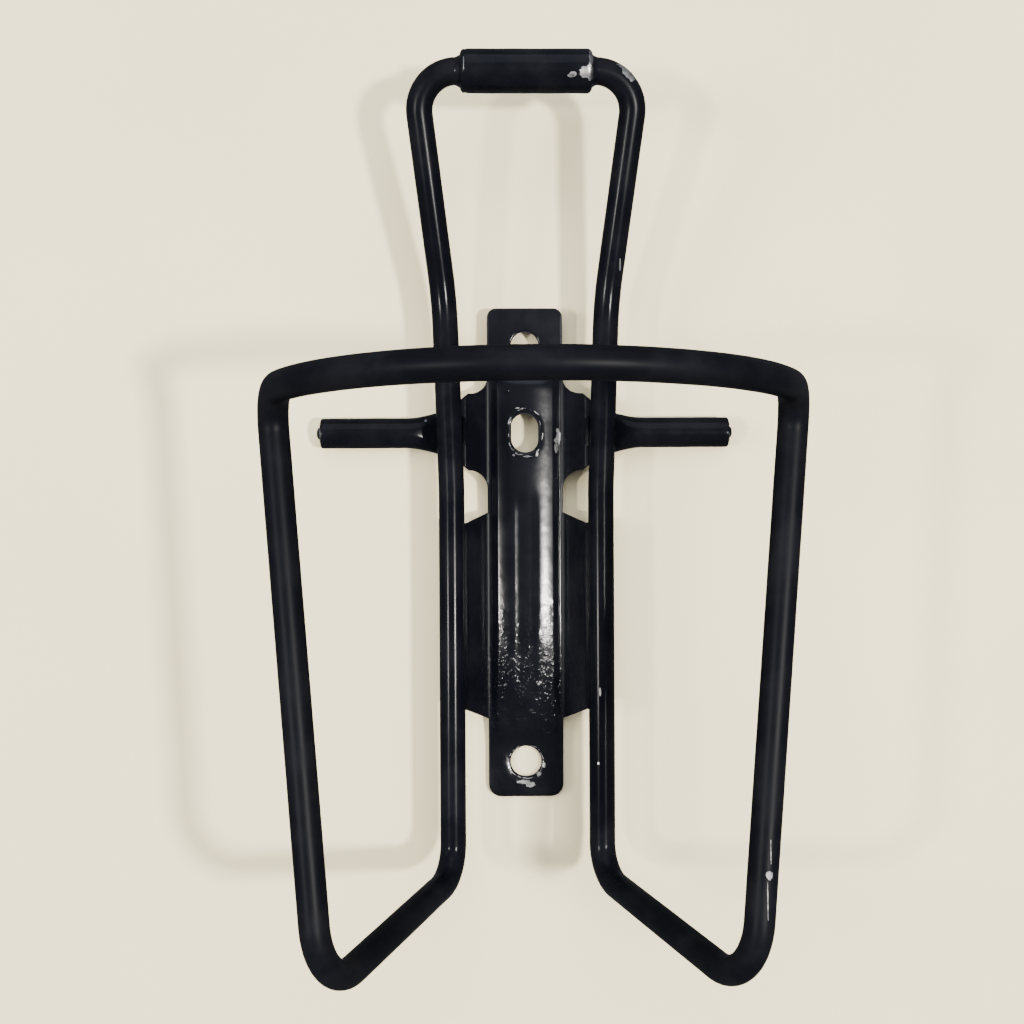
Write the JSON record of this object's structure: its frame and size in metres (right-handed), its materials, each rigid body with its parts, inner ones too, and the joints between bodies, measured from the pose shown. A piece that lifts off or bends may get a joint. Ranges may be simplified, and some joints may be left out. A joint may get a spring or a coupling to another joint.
{
  "type": "water bottle cage",
  "caption": "Bicycle bottle cage of bent metal rod: back tubes, legs and a front hoop around the bottle, on a pressed slotted mounting plate with a crossbar behind it.",
  "frame": {"origin": "centre of the bounding box across X and Y, on the plane that touches the bicycle frame's bosses", "axes": "+X across the cage, +Y along the bottle towards its mouth, +Z out of the mounting plane towards the bottle"},
  "size_m": [0.088, 0.1624, 0.0905],
  "materials": {
    "black_enamel": "semi-gloss enamel"
  },
  "bodies": {
    "root": {"frame_rod": "black_enamel", "top_sleeve": "black_enamel", "mounting_plate": "black_enamel", "crossbar": "black_enamel", "upper_wing_braze_left": "black_enamel", "upper_wing_braze_right": "black_enamel", "lower_wing_braze_left": "black_enamel", "lower_wing_braze_right": "black_enamel", "sleeve_braze_left": "black_enamel", "sleeve_braze_right": "black_enamel", "crossbar_braze_top": "black_enamel", "crossbar_braze_bottom": "black_enamel"}
  },
  "joints": []
}
